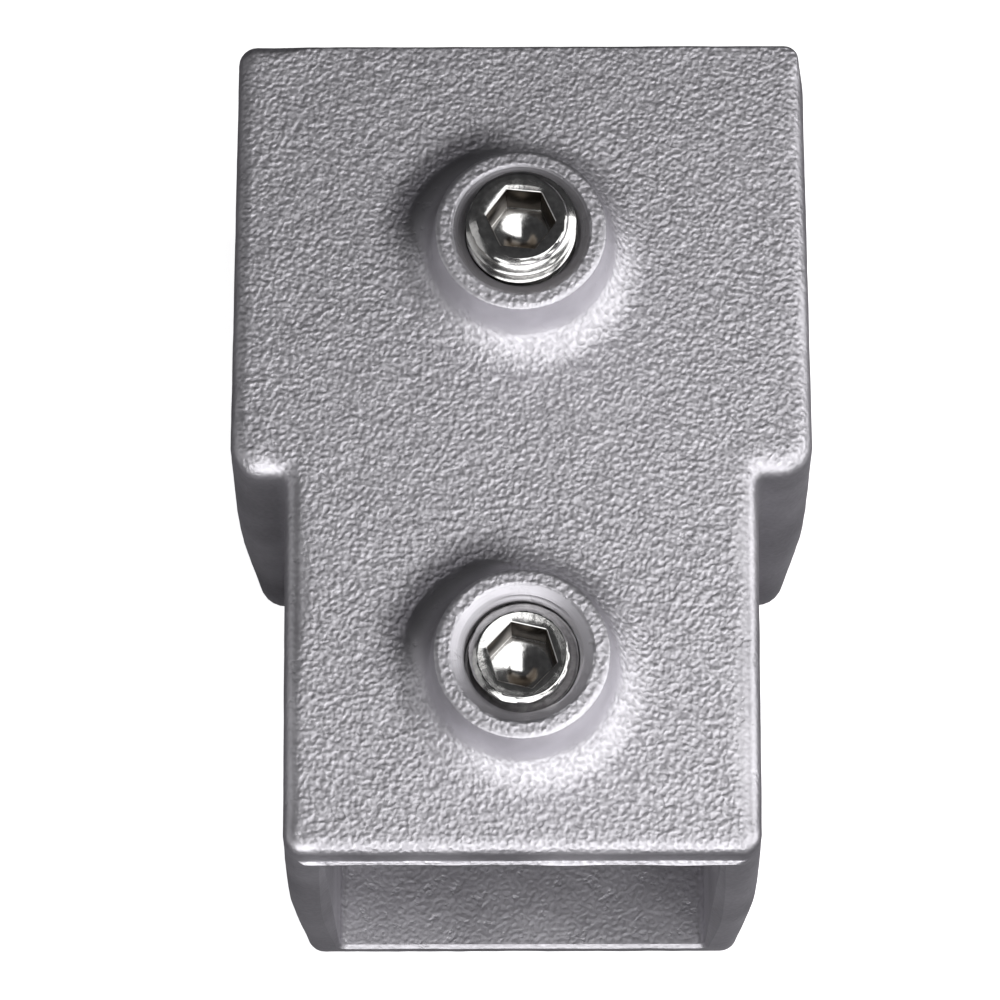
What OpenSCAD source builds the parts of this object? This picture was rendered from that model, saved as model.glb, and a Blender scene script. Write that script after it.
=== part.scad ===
// Short tee connector for square tube, cast in one piece, with a socket set screw over each socket.
// It lies on its back: +Z points out of the bossed front face, the through tube runs along X and
// the stem tube leaves towards -Y. The two tube axes cross at the origin, in the parting plane.

/* [Tube] */
// Outer side of the square tube that both sockets take
tube_side = 25; // [20:0.5:40]
// Slack between a tube and its socket, over the whole width
tube_clearance = 1; // [0.4:0.1:2]
// Radius of the corners inside the sockets
socket_corner_r = 0.6; // [0.3:0.1:1.5]

/* [Casting] */
// Thickness of the front and back walls
face_wall = 2.9; // [2.2:0.1:6]
// Thickness of the flanks at the parting line
flank_wall = 3.2; // [2.4:0.1:6]
// How far each end of the sleeve stands out past the stem
shoulder = 3.7; // [2:0.1:12]
// Length of the stem from the sleeve to its mouth
stem_length = 25.9; // [22:0.1:60]
// Angle at which the flanks lean in from the parting line to the front face
front_draft = 1.5; // [0.5:0.1:3]
// Angle at which the flanks lean in from the parting line to the back face
back_draft = 2.5; // [0.5:0.1:4]
// Angle at which each flank of the stem leans in towards the mouth
stem_taper = 0.6; // [0.2:0.1:1.5]
// Radius along the edges of the front face
front_edge_r = 1.2; // [0.6:0.1:2.4]
// Radius along the edges of the back face
back_edge_r = 3; // [0.6:0.1:4]
// Radius of the outline's outer corners at the parting line
outline_corner_r = 3; // [1.5:0.1:5]

/* [Bosses] */
// Height of the bosses above the front face
boss_height = 4.3; // [2:0.1:8]
// Width of the flat ring between a boss's countersink and its outer edge
boss_land = 1.15; // [0.8:0.05:3]
// Angle at which a boss's side leans in towards its rim
boss_taper = 8; // [2:1:15]
// Radius of the hollow between a boss and the front face
boss_fillet_r = 2.6; // [0.5:0.1:3.2]
// Radius of a boss's outer rim
boss_rim_r = 0.25; // [0.2:0.05:0.6]
// Distance of the stem's boss from the stem's mouth
boss_to_mouth = 12.6; // [11:0.1:30]
// Width of the countersink round a screw's hole
countersink = 0.85; // [0.2:0.05:1.2]

/* [Set screws] */
// Diameter of the set screws, taken between the crests and the roots of an M8 thread
screw_d = 7.4; // [6.8:0.1:10]
// Length of the set screws: a nominal 8 mm screw measures 7.7 to 8.3
screw_length = 7.7; // [6:0.1:14]
// Gap all round between a set screw and its hole
thread_clearance = 0.05; // [0.02:0.01:0.1]
// Chamfer on the outer end of the set screws
head_chamfer = 0.8; // [0.5:0.05:1.2]
// Chamfer on the inner end of the set screws
point_chamfer = 1.2; // [0.8:0.05:1.8]
// Width of the biting ring between that chamfer and the cup in the inner end
cup_land = 0.3; // [0.2:0.05:0.6]
// Depth of that cup
cup_depth = 1.2; // [0.5:0.1:1.5]
// Width of the hexagon socket across its flats
hex_across_flats = 4; // [2.5:0.5:5]
// Depth of the hexagon socket to its corners
hex_depth = 2.6; // [2:0.1:3.5]
// Depth of the drill point under the hexagon socket
hex_drill_point = 1; // [0.5:0.1:1.5]
// How far the sleeve's screw is backed off from the tube's face
sleeve_screw_backed_off = 2.3; // [0:0.1:4]
// How far the stem's screw is backed off from the tube's face
stem_screw_backed_off = 0; // [0:0.1:4]
// Turn of the sleeve's screw, which shows at its hexagon
sleeve_screw_turn = -6; // [-30:1:30]
// Turn of the stem's screw, which shows at its hexagon
stem_screw_turn = -13; // [-30:1:30]

/* [Hidden] */
$fn = 96;
HEX = 6;

// Overlap and overshoot that keep cuts and joins clean
spare = 2;
// How far a flat side runs into the arc that takes over from it, so that the two cross cleanly
lap = 0.004;
// The same for the flanks of the stem, where it differs so that their edges don't end on the sleeve's
stem_lap = 0.012;

// Sockets, and the face of a tube that lies against the back wall
socket = tube_side + tube_clearance;
tube_face_z = tube_side - socket / 2;

// Casting
half_depth = socket / 2 + face_wall;
arc_depth = half_depth + lap;
half_width = socket / 2 + flank_wall;
half_sleeve = half_width + shoulder;
stem_reach = half_width + stem_length;

// Bosses and the holes through them
hole_d = screw_d + 2 * thread_clearance;
countersink_r = hole_d / 2 + countersink;
boss_rim = countersink_r + boss_land;
boss_top = half_depth + boss_height;
boss_places = [0, boss_to_mouth - stem_reach];

// Set screws
screw_r = screw_d / 2;
sleeve_screw_tip = tube_face_z + sleeve_screw_backed_off;
stem_screw_tip = tube_face_z + stem_screw_backed_off;

// How far an arc's centre lies in from the corner that it rounds, where one side leans in by an angle
function round_in(r, lean) = r * tan(45 - lean / 2);
// Where the arc of a rounded edge has its centre, inside a flank that leans in by a draft angle
function edge_x(half, draft, r) = half - arc_depth * tan(draft) - round_in(r, draft);
// The right-hand outline of one rounded edge: where it leaves the face, then where it meets the flank
function edge_points(half, draft, r, overlap) =
    let (x = edge_x(half, draft, r), reach = r - overlap)
    [[x, arc_depth], [x + reach * cos(draft), arc_depth - r + reach * sin(draft)]];

function mirror_x(points) = [for (p = points) [-p[0], p[1]]];
function mirror_y(points) = [for (p = points) [p[0], -p[1]]];
function backwards(points) = [for (i = [len(points) - 1:-1:0]) points[i]];

// Section of a drafted block: widest at the parting line, with rounded edges, and run on past the faces
module drafted_section(half, overlap = lap) {
    front = edge_points(half, front_draft, front_edge_r, overlap);
    back = mirror_y(edge_points(half, back_draft, back_edge_r, overlap));
    run_on = [0, spare];
    right = concat([front[0] + run_on], front, [[half, 0]], backwards(back), [back[0] - run_on]);
    polygon(concat(right, backwards(mirror_x(right))));
    for (side = [-1, 1]) {
        translate([side * edge_x(half, front_draft, front_edge_r), arc_depth - front_edge_r])
            circle(front_edge_r);
        translate([side * edge_x(half, back_draft, back_edge_r), back_edge_r - arc_depth])
            circle(back_edge_r);
    }
}

// A section standing in XZ and carried along Y, over a length that is centred on the origin
module along_y(length) {
    rotate([90, 0, 0])
        linear_extrude(length, center = true)
            children();
}

// A section standing in YZ and carried along X, over a length that is centred on the origin
module along_x(length) {
    rotate([90, 0, 90])
        linear_extrude(length, center = true)
            children();
}

module rounded_rectangle(size, r) {
    square([size[0] - 2 * r, size[1]], center = true);
    square([size[0], size[1] - 2 * r], center = true);
    for (x = [-1, 1], y = [-1, 1])
        translate([x * (size[0] / 2 - r), y * (size[1] / 2 - r)])
            circle(r);
}

// The sleeve: a block drafted on all four flanks
module sleeve_block() {
    intersection() {
        along_y(2 * (half_width + spare))
            drafted_section(half_sleeve);
        along_x(2 * (half_sleeve + spare))
            drafted_section(half_width);
    }
}

// The stem: a drafted block from the through tube's axis to the mouth, with flanks that lean in
module stem_block() {
    intersection() {
        leaning_both_ways(stem_taper)
            along_y(2 * (stem_reach + spare))
                drafted_section(half_width, stem_lap);
        translate([0, -stem_reach / 2, 0])
            along_x(2 * (half_width + spare))
                drafted_section(stem_reach / 2);
    }
}

// Outline of the tee at the parting line, with its outer corners rounded
module tee_outline() {
    rounded_rectangle([2 * half_sleeve, 2 * half_width], outline_corner_r);
    translate([0, -stem_reach / 2])
        rounded_rectangle([2 * half_width, stem_reach], outline_corner_r);
}

// Sleeve and stem in one, ended at the front and back faces
module tee_body() {
    intersection() {
        union() {
            sleeve_block();
            stem_block();
        }
        linear_extrude(2 * half_depth, center = true)
            tee_outline();
    }
}

// What two copies share that are turned by an angle, one each way
module leaning_both_ways(angle) {
    intersection() {
        rotate(angle)
            children();
        rotate(-angle)
            children();
    }
}

// A boss on the front face, with a rounded rim and a hollow fillet at its foot
module boss() {
    foot_x = boss_rim + boss_height * tan(boss_taper) + round_in(boss_fillet_r, boss_taper);
    fillet_z = boss_fillet_r - lap;
    fillet_reach = boss_fillet_r - lap;
    side_x = foot_x - fillet_reach * cos(boss_taper);
    side_z = fillet_z - fillet_reach * sin(boss_taper);
    rim_x = boss_rim - round_in(boss_rim_r, boss_taper);
    rim_z = boss_height - boss_rim_r;
    rim_reach = boss_rim_r - lap;
    rim_side_x = rim_x + rim_reach * cos(boss_taper);
    rim_side_z = rim_z + rim_reach * sin(boss_taper);
    translate([0, 0, half_depth])
        rotate_extrude() {
            difference() {
                polygon([[0, -spare], [foot_x, -spare], [foot_x, 0], [side_x, side_z],
                    [rim_side_x, rim_side_z], [rim_x, boss_height], [0, boss_height]]);
                translate([foot_x, fillet_z])
                    circle(boss_fillet_r);
            }
            translate([rim_x, rim_z])
                circle(boss_rim_r);
        }
}

// A screw's hole from the boss's rim into the socket, countersunk at the rim
module screw_hole() {
    translate([0, 0, tube_face_z])
        cylinder(h = boss_top - tube_face_z + spare, d = hole_d);
    translate([0, 0, boss_top - countersink])
        cylinder(h = countersink + spare, r1 = hole_d / 2, r2 = countersink_r + spare);
}

// The square hole that a tube slides into
module socket_section() {
    rounded_rectangle([socket, socket], socket_corner_r);
}

module tee_casting() {
    color("#a5a3a8")
        difference() {
            union() {
                tee_body();
                for (y = boss_places)
                    translate([0, y, 0])
                        boss();
            }
            along_x(2 * (half_sleeve + spare))
                socket_section();
            translate([0, -(stem_reach + spare) / 2, 0])
                along_y(stem_reach + spare)
                    socket_section();
            for (y = boss_places)
                translate([0, y, 0])
                    screw_hole();
        }
}

// A socket set screw with its tip at z = 0: chamfered ends, a cup point and a hexagon socket
module set_screw() {
    point_r = screw_r - point_chamfer;
    difference() {
        rotate_extrude()
            polygon([[0, cup_depth], [point_r - cup_land, 0], [point_r, 0], [screw_r, point_chamfer],
                [screw_r, screw_length - head_chamfer], [screw_r - head_chamfer, screw_length],
                [0, screw_length]]);
        translate([0, 0, screw_length - hex_depth])
            cylinder(h = hex_depth + spare, d = hex_across_flats / cos(180 / HEX), $fn = HEX);
        translate([0, 0, screw_length - hex_depth - hex_drill_point])
            cylinder(h = hex_drill_point, r1 = 0, r2 = hex_across_flats / 2);
    }
}

module sleeve_set_screw() {
    color("#c9c7c2")
        translate([0, boss_places[0], sleeve_screw_tip])
            rotate(sleeve_screw_turn)
                set_screw();
}

module stem_set_screw() {
    color("#c9c7c2")
        translate([0, boss_places[1], stem_screw_tip])
            rotate(stem_screw_turn)
                set_screw();
}

tee_casting();
sleeve_set_screw();
stem_set_screw();
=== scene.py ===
import itertools

import bmesh
import bpy
import numpy as np
from mathutils import Matrix, Vector


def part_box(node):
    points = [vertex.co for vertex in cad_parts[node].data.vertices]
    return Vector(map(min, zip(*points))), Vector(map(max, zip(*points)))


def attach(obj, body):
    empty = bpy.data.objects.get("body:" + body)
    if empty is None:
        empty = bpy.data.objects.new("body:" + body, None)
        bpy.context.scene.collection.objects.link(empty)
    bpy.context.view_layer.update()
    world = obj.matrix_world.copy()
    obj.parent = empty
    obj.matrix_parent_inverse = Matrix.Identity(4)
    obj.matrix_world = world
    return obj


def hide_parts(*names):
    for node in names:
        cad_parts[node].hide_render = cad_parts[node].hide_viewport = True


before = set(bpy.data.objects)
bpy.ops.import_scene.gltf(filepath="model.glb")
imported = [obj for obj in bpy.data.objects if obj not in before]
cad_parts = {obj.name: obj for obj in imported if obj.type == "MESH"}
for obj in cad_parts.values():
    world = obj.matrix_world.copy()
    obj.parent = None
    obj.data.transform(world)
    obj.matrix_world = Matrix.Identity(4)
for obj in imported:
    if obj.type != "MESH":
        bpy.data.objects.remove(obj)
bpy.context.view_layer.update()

# Sizes are in millimetres; a mesh is turned to metres as it is made.
MM = 0.001

# Casting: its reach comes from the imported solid. Its drafts, radii and edges are the visual's own where they
# vary more finely than the solid's.
casting_low, casting_high = (np.array(corner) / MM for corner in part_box("tee_casting"))
HALF_SLEEVE = casting_high[0]
HALF_WIDTH = casting_high[1]
STEM_REACH = -casting_low[1]
HALF_DEPTH = -casting_low[2]
BOSS_TOP = casting_high[2]
SOCKET = 26.0
SOCKET_CORNER_R = 0.6
FRONT_DRAFT = np.radians(1.5)
TOP_DRAFT = np.radians(2.5)
BACK_DRAFT = np.radians(2.2)
STEM_TAPER = np.radians(0.6)
FRONT_EDGE_R = 1.2
SHOULDER_EDGE_R = 1.45
MOUTH_EDGE_R = 0.95
TOP_EDGE_R = 0.3
BACK_EDGE_R = 1.8
TOP_CORNER_R = 1.7
SHOULDER_CORNER_R = 2.6
MOUTH_CORNER_R = 1.8
CORNER_R_LEAST = 0.25
SHOULDER_R = 0.6
MOUTH_EDGE = 0.3

# Distances from its edge at which each front edge radius begins to show and is reached
SHOULDER_BLEND = (4.5, 1.5)
STEP_BLEND = 0.6
MOUTH_BLEND = (3.5, 0.8)
TOP_BLEND = (4.0, 1.5)
TOP_END_BLEND = (3.0, 6.0)

# Flash at the stem's mouth: how far it stands out and the least share of that, the level of its middle, half
# its height at its foot and crest, where it runs out, the depth of the end face that can have it, and the
# levels from its middle at which the flanks have rows of points for it
LIP = 0.3
LIP_LEAST = 0.55
LIP_Z = 13.35
LIP_SPREAD = (0.4, 0.24)
LIP_ENDS = (15.0, 14.0)
LIP_FACE = 1.2
LIP_ROWS = np.array([0.42, 0.33, 0.24, -0.1, -0.3, -0.45])

# Bosses, and the square window in the front face that each one fills
BOSS_Y = (0.0, 12.6 - STEM_REACH)
BOSS_RIM_R = 5.75
BOSS_TAPER = np.radians(8)
BOSS_FILLET_R = 2.6
BOSS_EDGE_WIDTH = 0.42
BOSS_EDGE_DROP = 0.22
BOSS_WINDOW = 9.2
COUNTERSINK_R = 4.6
COUNTERSINK_CROWN = 0.06
BORE_R = 3.75
BORE_OVERRUN = 0.6
BORE_THREAD_DEPTH = 0.3
BORE_THREAD_SIDES = (0.34, 0.04)

# Cast finish: how deep the skin's unevenness is, how strong the grain is from 0 to 1, and the bands over
# which one finish turns into the next. Radii are from the nearer hole's axis.
SINK = 0.03
SINK_FROM_R = (4.7, 5.0)
WEAR = 0.3
FLANK_GRAIN = 0.2
BOSS_SIDE_GRAIN = 0.025
RIM_GRAIN = (0.3, 0.8)
SOCKET_GRAIN = 0.3
UPRIGHT_BAND = (0.72, 0.95)
MOUTH_BAND = 1.6
MOUTH_GAIN = 0.25
RUBBED_BAND = (1.5, 2.2)
RUBBED_WAVER = 2.0
LEE_BAND = (0.6, 0.98)
BOSS_SMOOTH_R = 6.2
BOSS_SMOOTH_BAND = 0.7
LEE_SMOOTH = 1.9
BOSS_ZONE_R = 9.6
RIM_BAND = (0.1, 0.4)
RIM_DEPTH = 0.3
TURNED_R = (4.6, 4.75)
SOCKET_SKIN = 0.05
FACE_SKIN = 0.1
# Painted shadow that each boss casts on the front face in its lee, towards the upper left: its least share
# near the boss, the radii over which it grows to full, and those over which it fades out
LEE_SHADOW_LEAST = 0.3
LEE_SHADOW_GROWS = (6.8, 8.2)
LEE_SHADOW_ENDS = (10.6, 8.6)
TURNED_RING = 0.16

# Set screws: an M8 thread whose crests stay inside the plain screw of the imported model
SCREW_R = 3.7
SCREW_LENGTH = 7.7
HEAD_CHAMFER = 0.8
HEAD_CHAMFER_DROP = 0.65
HEAD_CHAMFER_CURVE = 1.5
HEAD_RING = 0.04
FACE_DISH = np.radians(2.6)
POINT_CHAMFER = 1.2
CUP_LAND = 0.3
CUP_DEPTH = 1.2
HEX_ACROSS_FLATS = 4.0
HEX_DEPTH = 3.2
HEX_EDGE = 0.12
HEX_FOOT = 0.2
HEX_DRILL_POINT = 0.6
HEX_DRILL_R = 1.6
THREAD_PITCH = 1.25
THREAD_DEPTH = 0.62
THREAD_CREST = 0.16
THREAD_INSET = 0.02
SLEEVE_SCREW_TURN = np.radians(-6)
STEM_SCREW_TURN = np.radians(-13)

# Grime and painted shade on the screws: how strong they are in the thread's roots, and how far they keep from
# clean edges
ROOT_GRIME_AND_SHADE = 0.8
GRIME_AND_SHADE_EDGE = 0.1

# How finely the surfaces are drawn: the size of a cell, cells in half a corner's arc, points on an edge's
# arc, rows down each half of a flank, columns and rows to a pitch of a screw, and how near points are welded
CELL = 0.4
ARC_CELLS = 3
EDGE_POINTS = 9
FLANK_ROWS = 12
SCREW_COLUMNS = 120
SCREW_ROWS = 20
WELD = 2e-5

# Cells along the straight stretch of each kind of edge; the top's edge has all the columns of the others
MOUTH_CELLS = round(2 * (HALF_WIDTH - 2) / CELL)
STEM_CELLS = round((STEM_REACH - HALF_WIDTH) / CELL)
SHOULDER_CELLS = round((HALF_SLEEVE - HALF_WIDTH) / CELL)
END_CELLS = round(2 * (HALF_WIDTH - 2) / CELL)
TOP_CELLS = MOUTH_CELLS + 2 * SHOULDER_CELLS + 4 * ARC_CELLS


def grid_faces(rows, columns, closed=False, flip=False):
    """Four-cornered faces of a grid of points: each joins a point, the next row's, and their neighbours
    in the next column; closed joins the last column to the first, flip turns the faces over."""
    across = np.arange(columns if closed else columns - 1)
    i, j = np.meshgrid(np.arange(rows - 1), across, indexing="ij")
    k = (j + 1) % columns
    below = (i + 1) * columns
    faces = np.stack([i * columns + j, below + j, below + k, i * columns + k], axis=-1).reshape(-1, 4)
    return faces[:, ::-1] if flip else faces


def joined_mesh(name, patches):
    """One closed mesh from patches of (points, faces): all are laid end to end, points that coincide
    are welded, and faces that shrink to nothing at a pole go."""
    counts = np.cumsum([0] + [len(points) for points, _ in patches])
    points = np.concatenate([points for points, _ in patches]) * MM
    faces = np.concatenate([part + start for (_, part), start in zip(patches, counts)])
    mesh = bpy.data.meshes.new(name)
    mesh.vertices.add(len(points))
    mesh.vertices.foreach_set("co", points.ravel())
    mesh.loops.add(faces.size)
    mesh.loops.foreach_set("vertex_index", faces.ravel())
    mesh.polygons.add(len(faces))
    mesh.polygons.foreach_set("loop_start", np.arange(0, faces.size, 4))
    mesh.update(calc_edges=True)
    work = bmesh.new()
    work.from_mesh(mesh)
    bmesh.ops.remove_doubles(work, verts=work.verts[:], dist=WELD * MM)
    bmesh.ops.dissolve_degenerate(work, edges=work.edges[:], dist=WELD * MM)
    work.to_mesh(mesh)
    work.free()
    return mesh


def placed(name, data):
    """An object of that name for a mesh, light or camera, in the scene."""
    thing = bpy.data.objects.new(name, data)
    bpy.context.scene.collection.objects.link(thing)
    return thing


def finished_piece(mesh, material, crease):
    """An object for the mesh, shaded smooth and sharp only where faces meet at more than the crease angle."""
    piece = placed(mesh.name, mesh)
    mesh.materials.clear()
    mesh.materials.append(material)
    mesh.polygons.foreach_set("use_smooth", np.ones(len(mesh.polygons), dtype=bool))
    mesh.set_sharp_from_angle(angle=crease)
    mesh.update()
    return piece


def vertex_array(mesh, what):
    """Points or normals of a mesh as an array of rows, points in millimetres."""
    values = np.empty(3 * len(mesh.vertices), dtype=np.float32)
    if what == "points":
        mesh.vertices.foreach_get("co", values)
        return values.reshape(-1, 3).astype(float) / MM
    mesh.vertex_normals.foreach_get("vector", values)
    return values.reshape(-1, 3).astype(float)


def point_attribute(mesh, name, values):
    """Keeps one number for each point of a mesh under a name that its material reads."""
    layer = mesh.attributes.new(name, "FLOAT", "POINT")
    layer.data.foreach_set("value", values.astype(np.float32))


def unevenness(points, spacing, seed):
    """Smooth random heights from 0 to 1: random values on a cubic lattice of that spacing, eased from
    one knot to the next."""
    knots = 64
    table = np.random.default_rng(seed).uniform(0, 1, (knots, knots, knots))
    place = points / spacing
    base = np.floor(place).astype(int)
    part = place - base
    part = part * part * (3 - 2 * part)
    height = np.zeros(len(points))
    for corner in itertools.product((0, 1), repeat=3):
        at = (base + corner) % knots
        share = np.prod(np.where(np.array(corner) == 1, part, 1 - part), axis=1)
        height += share * table[at[:, 0], at[:, 1], at[:, 2]]
    return height


def eased(value, start, end):
    """0 before start, 1 after end, and a smooth step between."""
    part = np.clip((value - start) / (end - start), 0, 1)
    return part * part * (3 - 2 * part)


def barrel(z, end, draft):
    """How far a flank lies in from the parting line at a height: it leaves the line upright and curves over
    until it leans by the draft angle at its end, having kept to that angle on the whole."""
    share = z / end
    return np.abs(z) * np.tan(draft) * share * (2 - share)


def flank_inset(z):
    """The flank's inset at a height, on either side of the parting line."""
    return np.where(z > 0, barrel(z, HALF_DEPTH - FRONT_EDGE_R, FRONT_DRAFT),
                    barrel(z, BACK_EDGE_R - HALF_DEPTH, BACK_DRAFT))


def flank_section(edge_r, draft=FRONT_DRAFT):
    """The section that is carried round the tee: inset from the parting line against height, from the front
    face over the front arc, down both drafted flanks and round the back arc to the back face."""
    front_in = HALF_DEPTH * np.tan(draft) + edge_r * np.tan(np.pi / 4 - draft / 2)
    back_in = HALF_DEPTH * np.tan(BACK_DRAFT) + BACK_EDGE_R * np.tan(np.pi / 4 - BACK_DRAFT / 2)
    front = np.linspace(np.pi / 2, draft, EDGE_POINTS)
    back = np.linspace(-BACK_DRAFT, -np.pi / 2, EDGE_POINTS)
    front_arc = np.stack([front_in - edge_r * np.cos(front),
                          HALF_DEPTH - edge_r + edge_r * np.sin(front)], axis=1)
    back_arc = np.stack([back_in - BACK_EDGE_R * np.cos(back),
                         BACK_EDGE_R - HALF_DEPTH + BACK_EDGE_R * np.sin(back)], axis=1)
    share = np.linspace(0, 1, FLANK_ROWS + 1)[1:-1]
    front_z = np.sort(np.append(front_arc[-1, 1] * (1 - share), LIP_Z + LIP_ROWS))[::-1]
    back_z = back_arc[0, 1] * share
    front_flank = np.stack([barrel(front_z, front_arc[-1, 1], draft), front_z], axis=1)
    back_flank = np.stack([barrel(back_z, back_arc[0, 1], BACK_DRAFT), back_z], axis=1)
    return np.concatenate([front_arc, front_flank, np.zeros((1, 2)), back_flank, back_arc])


def stem_half(y, inset):
    """Half the width of the stem at a place along it: full at the shoulders, then its flanks lean in towards
    the mouth by the taper."""
    return (HALF_WIDTH - inset) / np.cos(STEM_TAPER) + (y + HALF_WIDTH) * np.tan(STEM_TAPER)


def tee_edges(inset):
    """The tee's outline, moved in by an inset, as eight edges of points. Each edge runs from the middle of
    one rounded corner to the middle of the next: half an arc, a straight stretch, half an arc."""
    top = HALF_WIDTH - inset
    end = HALF_SLEEVE - inset
    mouth = inset - STEM_REACH
    mouth_x = stem_half(mouth, inset)
    neck_x = stem_half(-top, inset)
    corners = np.array([[-mouth_x, mouth], [mouth_x, mouth], [neck_x, -top], [end, -top],
                        [end, top], [-end, top], [-end, -top], [-neck_x, -top]])
    hollow = np.array([False, False, True, False, False, False, False, True])
    cells = np.array([MOUTH_CELLS, STEM_CELLS, SHOULDER_CELLS, END_CELLS,
                      TOP_CELLS, END_CELLS, SHOULDER_CELLS, STEM_CELLS])
    outer = np.array([MOUTH_CORNER_R, MOUTH_CORNER_R, 0, SHOULDER_CORNER_R,
                      TOP_CORNER_R, TOP_CORNER_R, SHOULDER_CORNER_R, 0])
    radius = np.where(hollow, SHOULDER_R, np.maximum(outer - inset, CORNER_R_LEAST))
    onward = np.roll(corners, -1, axis=0) - corners
    onward /= np.linalg.norm(onward, axis=1)[:, None]
    arriving = np.roll(onward, 1, axis=0)
    crossed = arriving[:, 0] * onward[:, 1] - arriving[:, 1] * onward[:, 0]
    turn = np.arctan2(crossed, np.sum(arriving * onward, axis=1))
    begin = corners - arriving * (radius * np.tan(np.abs(turn) / 2))[:, None]
    aside = np.stack([-arriving[:, 1], arriving[:, 0]], axis=1)
    centre = begin + aside * (np.sign(turn) * radius)[:, None]
    first = np.arctan2(*(begin - centre).T[::-1])[:, None]
    angle = first + turn[:, None] * np.linspace(0, 1, 2 * ARC_CELLS + 1)
    arcs = centre[:, None] + radius[:, None, None] * np.stack([np.cos(angle), np.sin(angle)], axis=-1)
    edges = []
    for k in range(8):
        following = arcs[(k + 1) % 8]
        share = np.linspace(0, 1, cells[k] + 1)[1:-1, None]
        straight = arcs[k, -1] * (1 - share) + following[0] * share
        edges.append(np.concatenate([arcs[k, ARC_CELLS:], straight, following[:ARC_CELLS + 1]]))
    top_x = np.concatenate([edges[2][::-1, 0], neck_columns(edges)[::-1], -edges[2][:, 0]])
    edges[4][ARC_CELLS + 1:-ARC_CELLS - 1, 0] = top_x[ARC_CELLS + 1:-ARC_CELLS - 1]
    return edges


def neck_columns(edges):
    """Where the stem's columns cross into the sleeve: the mouth's points spread to the width of the neck,
    without the two outermost."""
    return edges[0][1:-1, 0] * edges[2][0, 0] / edges[0][-1, 0]


def tee_outline(inset, z):
    """The outline's points at a height in one closed loop, anticlockwise from the mouth's left corner."""
    return np.insert(np.concatenate([edge[:-1] for edge in tee_edges(inset)]), 2, z, axis=1)


def tee_face(inset, z):
    """A flat face in the shape of the tee as a grid of rows and columns, with its rim on the outline. The
    stem's columns are the mouth's points, drawn in or out to the stem's width at each row; the sleeve's
    columns are those of its top edge. Gives the points, and a mask of those that the tee has."""
    edges = tee_edges(inset)
    stem_y, end_y = edges[1][:, 1], edges[3][:, 1]
    shoulder = len(edges[2]) - 1
    mouth = len(edges[0])
    sleeve_x = np.concatenate([-edges[2][::-1, 0], neck_columns(edges), edges[2][:, 0]])
    rows, columns = len(stem_y) + len(end_y) - 1, len(sleeve_x)
    face = np.zeros((rows, columns, 3))
    face[..., 2] = z
    there = np.ones((rows, columns), dtype=bool)
    neck = len(stem_y) - 1
    there[:neck, :shoulder] = False
    there[:neck, shoulder + mouth:] = False
    widths = stem_half(stem_y, inset) / stem_half(edges[0][0, 1], inset)
    face[:neck, shoulder:shoulder + mouth, 0] = edges[0][:, 0] * widths[:neck, None]
    face[:neck, shoulder:shoulder + mouth, 1] = stem_y[:neck, None]
    face[neck:, :, 0] = sleeve_x
    face[neck:, :, 1] = end_y[:, None]
    left, right = shoulder, shoulder + mouth - 1
    face[0, left:right + 1, :2] = edges[0]
    face[:neck + 1, right, :2] = edges[1]
    face[neck, right:, :2] = edges[2]
    face[neck:, -1, :2] = edges[3]
    face[-1, ::-1, :2] = edges[4]
    face[neck:, 0, :2] = edges[5][::-1]
    face[neck, :left + 1, :2] = edges[6]
    face[:neck + 1, left, :2] = edges[7][::-1]
    return face, there


def between(a, b, cells):
    """Points from a to b in even steps, without a itself."""
    share = np.linspace(0, 1, cells + 1)[1:, None]
    return a * (1 - share) + b * share


def boss_profile():
    """Radius against height of a boss: from its foot up the hollow fillet, the leaning side, over the rounded
    edge, across the rim, down the countersink and the bore to just inside the socket, and to the axis."""
    height = BOSS_TOP - HALF_DEPTH
    spread = BOSS_FILLET_R * np.tan(np.pi / 4 - BOSS_TAPER / 2)
    foot = BOSS_RIM_R + height * np.tan(BOSS_TAPER) + spread
    hollow = np.linspace(-np.pi / 2, BOSS_TAPER - np.pi, 11)
    fillet = np.stack([foot + BOSS_FILLET_R * np.cos(hollow),
                       HALF_DEPTH + BOSS_FILLET_R + BOSS_FILLET_R * np.sin(hollow)], axis=1)
    rounding = np.linspace(0, np.pi / 2, EDGE_POINTS)
    edge = np.stack([BOSS_RIM_R - BOSS_EDGE_WIDTH + BOSS_EDGE_WIDTH * np.cos(rounding),
                     BOSS_TOP - BOSS_EDGE_DROP + BOSS_EDGE_DROP * np.sin(rounding)], axis=1)
    sink = COUNTERSINK_R - BORE_R
    share = np.linspace(0, 1, 11)
    cone = np.stack([COUNTERSINK_R - sink * share, BOSS_TOP - sink * share], axis=1)
    cone += COUNTERSINK_CROWN * np.sin(np.pi * share)[:, None] * np.array([-1, 1]) / np.sqrt(2)
    cone[:, 1] = np.minimum(cone[:, 1], BOSS_TOP)
    tip = np.array([BORE_R, SOCKET / 2 - BORE_OVERRUN])
    walls = [fillet, between(fillet[-1], edge[0], 6)[:-1], edge, between(edge[-1], cone[0], 4), cone[1:],
             between(cone[-1], tip, 48), between(tip, tip * [0, 1], 1)]
    return np.concatenate(walls)


def groove(turns):
    """Depth of a tapped thread, from 0 at its crest to 1 at its root, against turns along it: a rounded V
    that takes up two thirds of each turn."""
    from_root = np.abs(turns % 1 - 0.5)
    return eased(from_root, *BORE_THREAD_SIDES)


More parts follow.
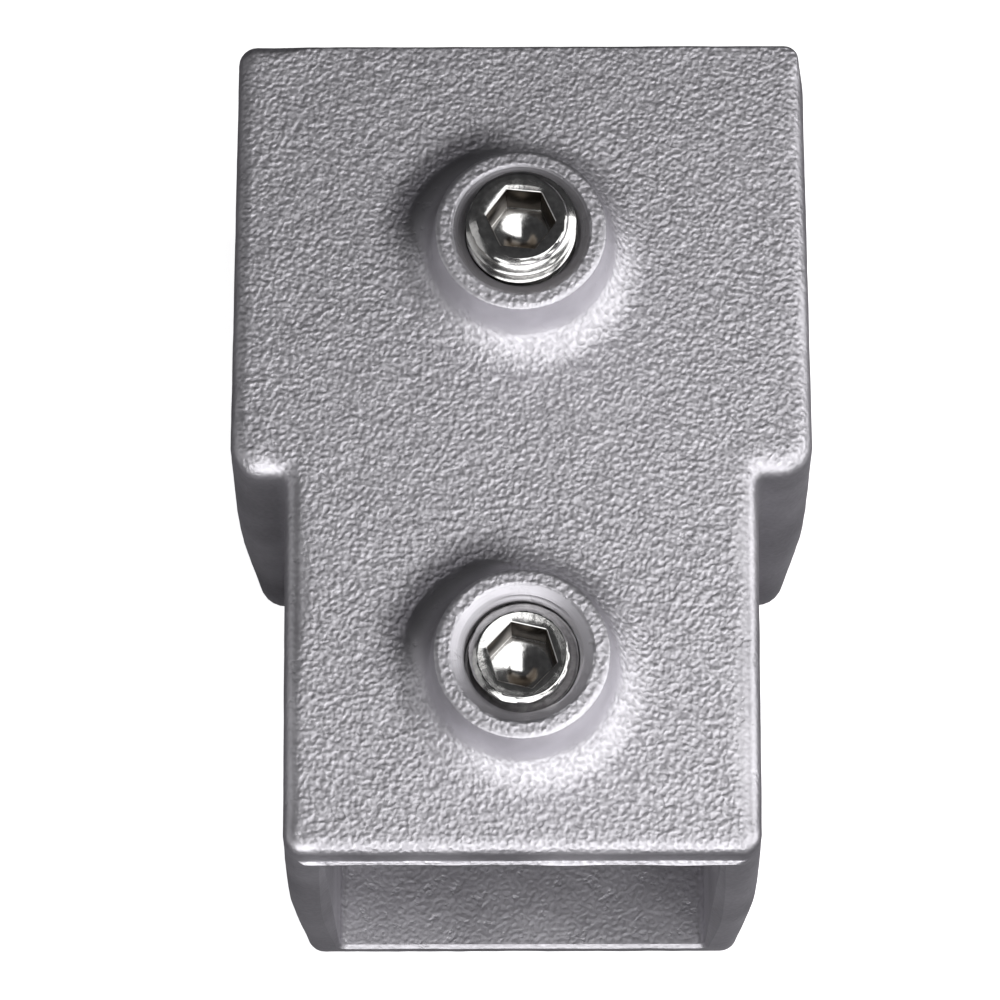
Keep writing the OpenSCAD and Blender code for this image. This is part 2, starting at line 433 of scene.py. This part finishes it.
def boss_patch(window, y):
    """A boss that fills a square window in the front face: rays run from the window's rim to the boss's foot,
    then its profile is turned round the axis along the same rays, and the hole has a shallow thread."""
    across = window[:, :2] - [0, y]
    reach = np.linalg.norm(across, axis=1)
    ray = across / reach[:, None]
    profile = boss_profile()
    share = np.linspace(0, 1, 8)[:-1, None]
    flat_r = reach * (1 - share) + profile[0, 0] * share
    radius = np.concatenate([flat_r, np.repeat(profile[:, :1], len(ray), axis=1)])
    height = np.concatenate([np.full(len(share), HALF_DEPTH), profile[:, 1]])
    turn = np.arctan2(ray[:, 1], ray[:, 0]) / (2 * np.pi)
    tapped = BORE_R + BORE_THREAD_DEPTH * groove(height[:, None] / THREAD_PITCH - turn)
    hole = (radius <= COUNTERSINK_R) & (radius > 0) & (height[:, None] < BOSS_TOP)
    radius = np.where(hole, np.maximum(radius, tapped), radius)
    points = np.empty(radius.shape + (3,))
    points[..., :2] = radius[..., None] * ray + [0, y]
    points[..., 2] = height[:, None]
    points[0] = window
    return points.reshape(-1, 3), grid_faces(*radius.shape, closed=True, flip=True)


def rim_of(block):
    """The outer points of a block of a grid in one closed loop, anticlockwise."""
    return np.concatenate([block[0, :-1], block[:-1, -1], block[-1, :0:-1], block[:0:-1, 0]])


def dressed_edges(general, shoulders, mouth, top):
    """Points between four copies of a surface whose front edges have different radii: the shoulders' copy at
    the outer ends of the step, the mouth's copy at the stem's end, the top's copy along the sleeve's far edge
    but for its left corner, the general one elsewhere."""
    x, y = general[..., :1], general[..., 1:2]
    past_step = eased(np.abs(x), HALF_WIDTH - STEP_BLEND, HALF_WIDTH + STEP_BLEND)
    at_shoulders = past_step * eased(y + HALF_WIDTH, *SHOULDER_BLEND)
    at_mouth = eased(y + STEM_REACH, *MOUTH_BLEND)
    at_top = eased(HALF_WIDTH - y, *TOP_BLEND) * eased(x + HALF_SLEEVE, *TOP_END_BLEND)
    moved = at_shoulders * (shoulders - general) + at_mouth * (mouth - general)
    return general + moved + at_top * (top - general)


def mouth_lip(points):
    """How far the flash at the stem's mouth stands out of the end face: a fine lip of uneven height along the
    front wall's inner edge, which runs out beyond the socket's corners."""
    x, y, z = np.moveaxis(points, -1, 0)
    across = eased(np.abs(z - LIP_Z), *LIP_SPREAD) * eased(np.abs(x), *LIP_ENDS)
    uneven = unevenness(points.reshape(-1, 3), 2.6, 11).reshape(x.shape)
    uneven = LIP_LEAST + (1 - LIP_LEAST) * uneven
    return LIP * across * uneven * (y < LIP_FACE - STEM_REACH)


def casting_skin():
    """The outside of the casting as one closed surface: the flanks carry their section round the tee's
    outline, the front and back faces close it, and the bosses stand in windows in the front face."""
    sections = [flank_section(FRONT_EDGE_R), flank_section(SHOULDER_EDGE_R), flank_section(MOUTH_EDGE_R),
                flank_section(TOP_EDGE_R, TOP_DRAFT)]
    walls = [np.stack([tee_outline(inset, z) for inset, z in section]) for section in sections]
    flanks = dressed_edges(*walls)
    flanks[..., 1] -= mouth_lip(flanks)
    patches = [(flanks.reshape(-1, 3), grid_faces(*flanks.shape[:2], closed=True))]
    backs = [tee_face(*section[-1])[0] for section in sections]
    there = tee_face(*sections[0][-1])[1]
    cells = there[:-1, :-1] & there[1:, :-1] & there[:-1, 1:] & there[1:, 1:]
    patches.append((dressed_edges(*backs).reshape(-1, 3), grid_faces(*there.shape)[cells.ravel()]))
    front = dressed_edges(*[tee_face(*section[0])[0] for section in sections])
    middle_y = front[:, front.shape[1] // 2, 1]
    for y in BOSS_Y:
        low, high = (np.argmin(np.abs(middle_y - y - side * BOSS_WINDOW)) for side in (-1, 1))
        line = front[low, :, 0]
        left, right = (np.argmin(np.abs(line - side * BOSS_WINDOW)) for side in (-1, 1))
        cells[low:high, left:right] = False
        patches.append(boss_patch(rim_of(front[low:high + 1, left:right + 1]), y))
    patches.append((front.reshape(-1, 3), grid_faces(*there.shape, flip=True)[cells.ravel()]))
    return patches


def socket_cutter(reach, along, start):
    """The room of a socket as a closed surface: a square with rounded corners, carried along X from start to
    reach, or along -Y. At an open mouth it flares at 45 degrees from just inside the drafted end face."""
    quarter = np.linspace(0, np.pi / 2, 6)
    arc = np.stack([np.cos(quarter), np.sin(quarter)], axis=1)
    straight = SOCKET / 2 - SOCKET_CORNER_R
    turns = np.array([[[1, 0], [0, 1]], [[0, -1], [1, 0]], [[-1, 0], [0, -1]], [[0, 1], [-1, 0]]])
    normal = np.concatenate([arc @ turn.T for turn in turns])
    corner = np.repeat(np.array([[1, 1], [-1, 1], [-1, -1], [1, -1]]) * straight, len(arc), axis=0)
    ring = corner + normal * SOCKET_CORNER_R
    outside = 3.0
    mouth = reach - flank_inset(ring[:, 1]) - MOUTH_EDGE
    flare = ring + normal * (outside + MOUTH_EDGE)
    rings = [(mouth + outside + MOUTH_EDGE, flare), (mouth, ring)]
    if start < 0:
        rings += [(-mouth, ring), (-mouth - outside - MOUTH_EDGE, flare)]
    else:
        rings += [(np.full(len(ring), start), ring)]
    rings = [(rings[0][0], ring * 0)] + rings + [(rings[-1][0], ring * 0)]
    length = np.stack([a for a, _ in rings])
    length[0], length[-1] = length[0].mean(), length[-1].mean()
    side, z = np.moveaxis(np.stack([b for _, b in rings]), -1, 0)
    points = np.stack([length, side, z] if along == "x" else [side, -length, z], axis=-1)
    return [(points.reshape(-1, 3), grid_faces(*length.shape, closed=True))]


def cut_sockets(piece):
    """A mesh of what is left of a piece when both sockets' room is cut out of it."""
    cutters = []
    rooms = (("through_room", HALF_SLEEVE, "x", -1.0), ("stem_room", STEM_REACH, "y", 0.0))
    for name, reach, along, start in rooms:
        cutter = placed(name, joined_mesh(name, socket_cutter(reach, along, start)))
        cut = piece.modifiers.new(name, "BOOLEAN")
        cut.operation = "DIFFERENCE"
        cut.solver = "EXACT"
        cut.object = cutter
        cutters.append(cutter)
    seen = piece.evaluated_get(bpy.context.evaluated_depsgraph_get())
    mesh = bpy.data.meshes.new_from_object(seen)
    piece.modifiers.clear()
    for cutter in cutters:
        bpy.data.meshes.remove(cutter.data)
    return mesh


def from_nearer_boss(points):
    """Distance of each point from the axis of the boss that is nearer to it."""
    return np.min([np.hypot(points[:, 0], points[:, 1] - y) for y in BOSS_Y], axis=0)


def cast_finish(points, normals, from_boss):
    """How strong the cast grain is at each point, and how strong the painted shadow is that each boss casts
    on its lee side. Faces that look to the front or back, and the mouth's end, have the full grain; the
    flanks, and a wavering strip along each side of the stem's front, are smoother. So are the sockets, and the
    bosses' sides down to their feet, further out on the lee side, where the painted shadow falls. Turned faces
    have no grain."""
    x, y, z = points.T
    worn = WEAR * (unevenness(points, 1.6, 7) - 0.5)
    upright = np.abs(normals[:, 2]) + np.where(y < MOUTH_BAND - STEM_REACH, MOUTH_GAIN, 0)
    grain = FLANK_GRAIN + (1 - FLANK_GRAIN) * eased(upright + worn, *UPRIGHT_BAND)
    from_side = stem_half(y, 0) - np.abs(x)
    unrubbed = eased(from_side + RUBBED_WAVER * (unevenness(points, 3.5, 9) - 0.5), *RUBBED_BAND)
    stem_grain = np.minimum(grain, FLANK_GRAIN + (1 - FLANK_GRAIN) * unrubbed)
    grain = np.where(y < -HALF_WIDTH, stem_grain, grain)
    across = y - np.where(y > BOSS_Y[1] / 2, *BOSS_Y)
    lee = eased((across - x) / np.sqrt(2) / np.maximum(from_boss, 1), *LEE_BAND)
    smooth_to = BOSS_SMOOTH_R + LEE_SMOOTH * lee
    boss_grain = eased(from_boss + worn, smooth_to, smooth_to + BOSS_SMOOTH_BAND)
    boss_grain = BOSS_SIDE_GRAIN + (1 - BOSS_SIDE_GRAIN) * boss_grain
    in_front = z > HALF_DEPTH - FACE_SKIN
    grain = np.where(in_front & (from_boss < BOSS_ZONE_R), boss_grain, grain)
    rim = eased(BOSS_RIM_R - from_boss - worn, *RIM_BAND)
    on_rim = z > BOSS_TOP - RIM_DEPTH
    grain = np.where(on_rim, RIM_GRAIN[0] + (RIM_GRAIN[1] - RIM_GRAIN[0]) * rim, grain)
    grain *= eased(from_boss, *TURNED_R)
    half = SOCKET / 2 + SOCKET_SKIN
    in_tee = (np.abs(y) < half) | ((np.abs(x) < half) & (y < 0))
    in_socket = in_tee & (np.abs(z) < half) & (from_boss > SINK_FROM_R[0])
    grain = np.where(in_socket, SOCKET_GRAIN, grain)
    # Painted shadow of each boss on the front face in its lee, towards the upper left, as from a light at the
    # lower right
    lee_shadow = LEE_SHADOW_LEAST + (1 - LEE_SHADOW_LEAST) * eased(from_boss, *LEE_SHADOW_GROWS)
    lee_shadow *= lee * eased(from_boss + worn, *LEE_SHADOW_ENDS) * (in_front & (z < BOSS_TOP - RIM_DEPTH))
    return grain, lee_shadow


def make_casting(material):
    """The tee casting: its skin, sunk by up to a few hundredths of a millimetre as a casting's is, with both
    sockets cut out. Point attributes tell the material how strong the grain is at each place, how far the
    nearer hole's axis is, and how strong the painted shadow is in the lee of each boss."""
    mesh = joined_mesh("tee_casting_skin", casting_skin())
    points, normals = vertex_array(mesh, "points"), vertex_array(mesh, "normals")
    sunk = SINK * unevenness(points, 2.2, 3) + SINK * unevenness(points, 0.9, 5)
    sunk *= eased(from_nearer_boss(points), *SINK_FROM_R)
    points -= normals * sunk[:, None]
    mesh.vertices.foreach_set("co", (points * MM).astype(np.float32).ravel())
    cast = cut_sockets(placed("tee_casting_skin", mesh))
    cast.name = "tee_connector_casting"
    bpy.data.meshes.remove(mesh)
    points, normals = vertex_array(cast, "points"), vertex_array(cast, "normals")
    from_boss = from_nearer_boss(points)
    grain, lee_shadow = cast_finish(points, normals, from_boss)
    for name, values in (("grain", grain), ("from_axis", from_boss), ("lee_shadow", lee_shadow)):
        point_attribute(cast, name, values)
    return finished_piece(cast, material, np.radians(38))


def thread_radius(phase):
    """Radius of the thread against the share of a pitch past the middle of a root: 60 degree flanks between
    flat crests and rounded roots."""
    from_crest = np.abs(phase - 0.5) * THREAD_PITCH
    drop = np.clip((from_crest - THREAD_CREST / 2) * np.sqrt(3), 0, None)
    depth = THREAD_DEPTH * np.tanh((drop / THREAD_DEPTH) ** 2) ** 0.5
    return SCREW_R - THREAD_INSET - depth


def ends(rings):
    """Rings of (radius at each angle, height) as an array of radii and one of heights."""
    return np.stack([r for r, _ in rings]), np.stack([h + 0 * r for r, h in rings])


def screw_skin(turn, place):
    """A socket set screw as one closed surface. Its side is a ribbon of the thread's section wound up the
    screw, each column a little higher than the last, held between the two ends and inside both chamfers. The
    ends are rings drawn in to the axis: the head's by the hexagon socket, the point's by the cup."""
    angle = np.linspace(0, 2 * np.pi, SCREW_COLUMNS + 1)
    rows = int(np.ceil((SCREW_LENGTH / THREAD_PITCH + 2) * SCREW_ROWS))
    step = np.arange(rows)[:, None]
    raw = THREAD_PITCH * (step / SCREW_ROWS - 1 + angle / (2 * np.pi))
    z = np.clip(raw, 0, SCREW_LENGTH)
    radius = np.repeat(thread_radius((step % SCREW_ROWS) / SCREW_ROWS), SCREW_COLUMNS + 1, axis=1)
    radius = np.minimum(radius, SCREW_R - POINT_CHAMFER + z)
    below = np.clip((SCREW_LENGTH - z) / HEAD_CHAMFER_DROP, 0, 1)
    radius = np.minimum(radius, SCREW_R - HEAD_CHAMFER * (1 - below) ** HEAD_CHAMFER_CURVE)
    hexagon = HEX_ACROSS_FLATS / 2 / np.cos((angle % (np.pi / 3)) - np.pi / 6)
    whole = np.ones(SCREW_COLUMNS + 1)
    floor_z = SCREW_LENGTH - HEX_DEPTH
    face_r = SCREW_R - HEAD_CHAMFER
    ring_z = SCREW_LENGTH - HEAD_RING * np.tan(FACE_DISH)
    mouth = hexagon + HEX_EDGE
    mouth_z = SCREW_LENGTH - (face_r - mouth) * np.tan(FACE_DISH)
    head = [(face_r * whole, SCREW_LENGTH), ((face_r - HEAD_RING) * whole, ring_z),
            ((mouth + face_r) / 2, (mouth_z + SCREW_LENGTH) / 2), (mouth, mouth_z),
            (hexagon + HEX_EDGE / 3, mouth_z - HEX_EDGE / 3), (hexagon, mouth_z - HEX_EDGE),
            (hexagon, floor_z + HEX_FOOT), (hexagon, floor_z), (HEX_DRILL_R * whole, floor_z),
            (HEX_DRILL_R / 2 * whole, floor_z - HEX_DRILL_POINT / 2), (0 * whole, floor_z - HEX_DRILL_POINT)]
    point_r = SCREW_R - POINT_CHAMFER
    point = [(0 * whole, CUP_DEPTH), ((point_r - CUP_LAND) / 2 * whole, CUP_DEPTH / 2),
             ((point_r - CUP_LAND) * whole, 0.0), (point_r * whole, 0.0)]
    patches = []
    for r, h in ((radius, z), ends(head), ends(point)):
        at = angle + turn
        points = np.stack([r * np.cos(at), r * np.sin(at), h + 0 * at], axis=-1) + place
        patches.append((points.reshape(-1, 3), grid_faces(*r.shape, flip=True)))
    return patches


def make_screw(name, node, turn, material):
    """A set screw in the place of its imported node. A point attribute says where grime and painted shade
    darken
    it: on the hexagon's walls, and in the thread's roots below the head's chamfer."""
    low, high = (np.array(corner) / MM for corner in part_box(node))
    place = np.array([(low[0] + high[0]) / 2, (low[1] + high[1]) / 2, low[2]])
    mesh = joined_mesh(name, screw_skin(turn, place))
    x, y, z = (vertex_array(mesh, "points") - place).T
    r = np.hypot(x, y)
    # Grime and painted shade: the hexagon's walls and the thread's roots are darkened
    deep = (z > SCREW_LENGTH - HEX_DEPTH + GRIME_AND_SHADE_EDGE) & (z < SCREW_LENGTH - 0.7 * HEX_EDGE)
    hexagon_walls = deep & (r < HEX_ACROSS_FLATS * 0.6)
    threaded = (z < SCREW_LENGTH - HEAD_CHAMFER - GRIME_AND_SHADE_EDGE) * (r > SCREW_R - HEAD_CHAMFER)
    roots = eased(SCREW_R - r, GRIME_AND_SHADE_EDGE, THREAD_DEPTH) * threaded
    point_attribute(mesh, "grime_and_shade", np.maximum(hexagon_walls, ROOT_GRIME_AND_SHADE * roots))
    return finished_piece(mesh, material, np.radians(40))


def linear(code):
    """A colour written as sRGB hex, as linear red, green, blue and full alpha."""
    part = np.array([int(code[i:i + 2], 16) for i in (1, 3, 5)]) / 255
    return (*np.where(part <= 0.04045, part / 12.92, ((part + 0.055) / 1.055) ** 2.4), 1.0)


def add(tree, kind, out, values=(), links=(), **settings):
    """Adds one node to a tree and gives the output of that name or number: settings are the node's
    properties, values its unlinked inputs, links what feeds the rest."""
    node = tree.nodes.new(kind)
    for key, value in settings.items():
        setattr(node, key, value)
    for key, value in dict(values).items():
        node.inputs[key].default_value = value
    for key, source in dict(links).items():
        tree.links.new(source, node.inputs[key])
    return node.outputs[out] if len(node.outputs) else None


def blank_material(name):
    """A material of that name, and its node tree, still empty."""
    material = bpy.data.materials.new(name)
    material.use_nodes = True
    material.node_tree.nodes.clear()
    return material, material.node_tree


def set_ramp(ramp, low, high):
    """Gives a colour ramp two colours, low and high, that it runs between over the middle of its range."""
    for stop, position, code in zip(ramp.color_ramp.elements, (0.3, 0.7), (low, high)):
        stop.position = position
        stop.color = linear(code)


def per_metre(size_mm):
    """Texture scale at which one feature is that many millimetres wide."""
    return 1 / (size_mm * MM)


def cast_aluminium():
    """Die-cast aluminium, blasted and left bare: a dull purplish grey metal whose worm-like grain, about
    0.3 mm wide, breaks every light into specks. Sides that slid along the die are smoother, the lee of each
    boss is smoother and darkened by a painted shadow, and the countersinks show the fine rings of the tool
    that turned them."""
    material, tree = blank_material("cast_aluminium")
    straight = add(tree, "ShaderNodeTexCoord", "Object")
    slanted = add(tree, "ShaderNodeMapping", "Vector", {"Rotation": (0.7, 0.5, 0.4)}, {"Vector": straight})
    place = {"Vector": slanted}
    strength = add(tree, "ShaderNodeAttribute", "Fac", attribute_name="grain")
    from_axis = add(tree, "ShaderNodeAttribute", "Fac", attribute_name="from_axis")
    lee_shadow = add(tree, "ShaderNodeAttribute", "Fac", attribute_name="lee_shadow")

    # Grain: worm-like lumps, rounded cells sunk between them, and broader swells
    worms = add(tree, "ShaderNodeTexNoise", "Fac",
                {"Scale": per_metre(0.3), "Detail": 0.0, "Distortion": 0.2}, place)
    cells = add(tree, "ShaderNodeTexVoronoi", "Distance", {"Scale": per_metre(0.42)}, place)
    swells = add(tree, "ShaderNodeTexNoise", "Fac", {"Scale": per_metre(0.8), "Detail": 1.0}, place)
    lumps = add(tree, "ShaderNodeMath", 0, {1: -0.4}, {0: cells, 2: worms}, operation="MULTIPLY_ADD")
    swollen = add(tree, "ShaderNodeMath", 0, {1: 0.5}, {0: swells, 2: lumps}, operation="MULTIPLY_ADD")
    grain = add(tree, "ShaderNodeMath", 0, (), {0: swollen, 1: strength}, operation="MULTIPLY")

    # Scuffs that dent it, and the turned rings, which show only where there is no grain
    scuffed = add(tree, "ShaderNodeTexNoise", "Fac", {"Scale": per_metre(0.9), "Detail": 3.0}, place)
    scuffs = add(tree, "ShaderNodeMapRange", "Result",
                 {"From Min": 0.6, "From Max": 0.7, "To Max": 0.2}, {"Value": scuffed})
    dented = add(tree, "ShaderNodeMath", 0, (), {0: grain, 1: scuffs}, operation="SUBTRACT")
    per_ring = 2 * np.pi / TURNED_RING
    angle = add(tree, "ShaderNodeMath", 0, {1: per_ring}, {0: from_axis}, operation="MULTIPLY")
    rings = add(tree, "ShaderNodeMath", 0, (), {0: angle}, operation="SINE")
    turned = add(tree, "ShaderNodeMapRange", "Result",
                 {"From Max": 0.05, "To Min": 0.02, "To Max": 0.0}, {"Value": strength})
    relief = add(tree, "ShaderNodeMath", 0, (), {0: rings, 1: turned, 2: dented}, operation="MULTIPLY_ADD")
    bump = add(tree, "ShaderNodeBump", "Normal",
               {"Strength": 1.0, "Distance": 0.085 * MM}, {"Height": relief})

    # Colour: painted shade in the grain, paler on the worms' tops and darker in the pits between them;
    # blotched at random where it is smooth; darkened by a painted shadow in the lee of each boss
    blotches = add(tree, "ShaderNodeTexNoise", "Fac", {"Scale": per_metre(6.0), "Detail": 3.0}, place)
    # Painted shade in the grain's pits where the grain is strong, random blotches where it is not
    pit_shade_and_tone = add(tree, "ShaderNodeMix", 0, (), {0: strength, 2: blotches, 3: worms})
    colour = add(tree, "ShaderNodeValToRGB", "Color", (), {"Fac": pit_shade_and_tone})
    set_ramp(colour.node, "#b9b7bc", "#dcdadf")
    # Painted shadow in each boss's lee: the colour is mixed towards a dark grey there
    lee_shaded = add(tree, "ShaderNodeMix", 2, {7: linear("#78767b")}, {0: lee_shadow, 6: colour}, data_type="RGBA")

    # Roughness: blotched, rougher with the grain and roughest on the turned rings
    dull = add(tree, "ShaderNodeMapRange", "Result", {"To Min": 0.38, "To Max": 0.46}, {"Value": blotches})
    blasted = add(tree, "ShaderNodeMath", 0, {1: 0.14}, {0: strength, 2: dull}, operation="MULTIPLY_ADD")
    rough = add(tree, "ShaderNodeMath", 0, {1: 6.0}, {0: turned, 2: blasted}, operation="MULTIPLY_ADD")
    shader = add(tree, "ShaderNodeBsdfPrincipled", 0, {"Metallic": 1.0},
                 {"Base Color": lee_shaded, "Roughness": rough, "Normal": bump})
    add(tree, "ShaderNodeOutputMaterial", None, (), {"Surface": shader})
    return material


def nickel_plated_steel():
    """Nickel-plated steel, turned and tumbled: a bright, slightly warm mirror that is dulled by fine handling
    marks, so highlights are sharp at their heart and soft round it, with brown grime and painted shade in its
    hollows."""
    material, tree = blank_material("nickel_plated_steel")
    place = add(tree, "ShaderNodeTexCoord", "Object")
    grime_and_shade = add(tree, "ShaderNodeAttribute", "Fac", attribute_name="grime_and_shade")
    marks = add(tree, "ShaderNodeTexNoise", "Fac",
                {"Scale": per_metre(0.5), "Detail": 4.0, "Roughness": 0.6}, {"Vector": place})
    bump = add(tree, "ShaderNodeBump", "Normal", {"Strength": 1.0, "Distance": 0.007 * MM}, {"Height": marks})
    colour = add(tree, "ShaderNodeValToRGB", "Color", (), {"Fac": marks})
    set_ramp(colour.node, "#b6b5b4", "#dddcda")
    # Grime and painted shade in the hollows: the colour is mixed towards a dark brown there
    soiled_and_shaded = add(tree, "ShaderNodeMix", 2, {7: linear("#50483f")}, {0: grime_and_shade, 6: colour}, data_type="RGBA")
    bright = add(tree, "ShaderNodeMapRange", "Result", {"To Min": 0.09, "To Max": 0.2}, {"Value": marks})
    rough = add(tree, "ShaderNodeMath", 0, {1: 0.2}, {0: grime_and_shade, 2: bright}, operation="MULTIPLY_ADD")
    shader = add(tree, "ShaderNodeBsdfPrincipled", 0, {"Metallic": 1.0},
                 {"Base Color": soiled_and_shaded, "Roughness": rough, "Normal": bump})
    add(tree, "ShaderNodeOutputMaterial", None, (), {"Surface": shader})
    return material


def make_floor():
    """A wide pale floor under the back face. It shows pale to the camera and is dark to the metal, as a
    studio table is that is flagged off with black card."""
    material, tree = blank_material("pale_floor")
    seen = add(tree, "ShaderNodeLightPath", "Is Camera Ray")
    dark = add(tree, "ShaderNodeBsdfDiffuse", 0, {"Color": linear("#5e5d60")})
    pale = add(tree, "ShaderNodeBsdfDiffuse", 0, {"Color": linear("#d8d8d8")})
    glow = add(tree, "ShaderNodeEmission", 0, {"Color": linear("#ffffff"), "Strength": 0.8})
    lit = add(tree, "ShaderNodeAddShader", 0, (), {0: pale, 1: glow})
    shown = add(tree, "ShaderNodeMixShader", 0, (), {0: seen, 1: dark, 2: lit})
    add(tree, "ShaderNodeOutputMaterial", None, (), {"Surface": shown})
    half = 3000 * MM
    level = -HALF_DEPTH * MM
    corners = [(-half, -half, level), (half, -half, level), (half, half, level), (-half, half, level)]
    mesh = bpy.data.meshes.new("studio_floor")
    mesh.from_pydata(corners, [], [(0, 1, 2, 3)])
    mesh.materials.append(material)
    floor = placed("studio_floor", mesh)


def softbox(name, place, aim, size, brightness):
    """A flat soft light at a place, aimed at a point, whose panel is of that size and brightness."""
    light = bpy.data.lights.new(name, "AREA")
    light.shape = "RECTANGLE"
    light.size = size[0] * MM
    light.size_y = size[1] * MM
    light.energy = brightness * np.pi * size[0] * size[1] * MM * MM
    panel = placed(name, light)
    panel.location = Vector(place) * MM
    panel.rotation_euler = (Vector(aim) - Vector(place)).to_track_quat("-Z", "Y").to_euler()
    panel.visible_camera = False


def make_lights():
    """Studio light: a broad bright box over the front face and to its right, bright ones low in front of the
    stem and at the right, a weak one at the left, and a dim room."""
    aim = (0, -12, 15)
    softbox("box_top", (118, -74, 330), (118, -74, 0), (244, 268), 2.85)
    softbox("box_front", (-5, -300, 160), aim, (510, 280), 2.3)
    softbox("box_right", (290, -40, 120), aim, (370, 200), 2.3)
    softbox("box_left", (-300, -20, 110), aim, (260, 240), 0.5)
    world = bpy.data.worlds.new("studio")
    world.use_nodes = True
    tree = world.node_tree
    tree.nodes.clear()
    seen = add(tree, "ShaderNodeLightPath", "Is Camera Ray")
    room = add(tree, "ShaderNodeBackground", 0, {"Color": linear("#8a8a8c"), "Strength": 0.22})
    backdrop = add(tree, "ShaderNodeBackground", 0, {"Color": linear("#f6f6f6"), "Strength": 1.0})
    shown = add(tree, "ShaderNodeMixShader", 0, (), {0: seen, 1: room, 2: backdrop})
    add(tree, "ShaderNodeOutputWorld", None, (), {"Surface": shown})
    bpy.context.scene.world = world


def make_camera():
    """A long lens at the photo's angle: tipped from the face's normal towards the stem, turned a hair."""
    tilt, yaw, roll = np.radians([18.8, 0.25, -0.05])
    aim = Vector((-1.5, -12.26, 0.0))
    distance = 282.3
    back = Vector((np.sin(yaw), -np.sin(tilt) * np.cos(yaw), np.cos(tilt) * np.cos(yaw)))
    right = Vector((0, 1, 0)).cross(back).normalized()
    up = back.cross(right)
    right, up = right * np.cos(roll) + up * np.sin(roll), up * np.cos(roll) - right * np.sin(roll)
    lens = bpy.data.cameras.new("camera")
    lens.sensor_width = 36
    lens.lens = 144
    lens.clip_start = 0.01
    lens.clip_end = 20
    stand = Matrix((right, up, back)).transposed().to_4x4()
    stand.translation = (aim + back * distance) * MM
    camera = placed("camera", lens)
    camera.matrix_world = stand
    bpy.context.scene.camera = camera


aluminium = cast_aluminium()
steel = nickel_plated_steel()
for piece, body, node, slot in (
        (make_casting(aluminium), "casting", "tee_casting", "cast_aluminium"),
        (make_screw("sleeve_socket_screw", "sleeve_set_screw", SLEEVE_SCREW_TURN, steel),
         "sleeve_screw", "sleeve_set_screw", "nickel_plated_steel"),
        (make_screw("stem_socket_screw", "stem_set_screw", STEM_SCREW_TURN, steel),
         "stem_screw", "stem_set_screw", "nickel_plated_steel")):
    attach(piece, body)
    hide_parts(node)
make_floor()
make_lights()
make_camera()
bpy.context.scene.view_settings.view_transform = "Standard"
